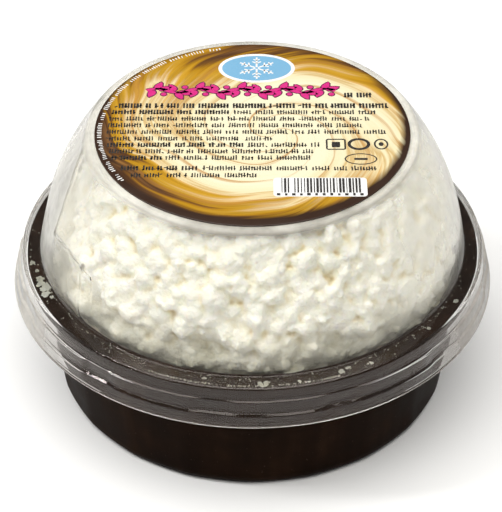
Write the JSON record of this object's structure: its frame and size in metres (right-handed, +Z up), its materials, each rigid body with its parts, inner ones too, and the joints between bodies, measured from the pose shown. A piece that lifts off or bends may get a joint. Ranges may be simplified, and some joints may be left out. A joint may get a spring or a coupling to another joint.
{
  "type": "packaged ice cream dessert",
  "caption": "Single-portion ice cream covered in meringue crumbs, in a round dark plastic tub with a clear domed press-on lid and a round paper label.",
  "frame": {"origin": "middle of the tub's foot, at the bottom of the bounding box", "axes": "+Z up through the lid, -Y towards the front of the label, +X to the right of someone facing the front"},
  "size_m": [0.09, 0.09, 0.0536],
  "materials": {
    "tub": "dark brown, satin, injection moulded",
    "lid": "clear thermoformed sheet, glossy",
    "label": "printed coated paper, satin",
    "ice_cream": "white to cream meringue crumbs, dry and matt"
  },
  "bodies": {
    "root": {"tub": "tub", "lid": "lid", "label": "label", "ice_cream": "ice_cream"}
  },
  "joints": []
}
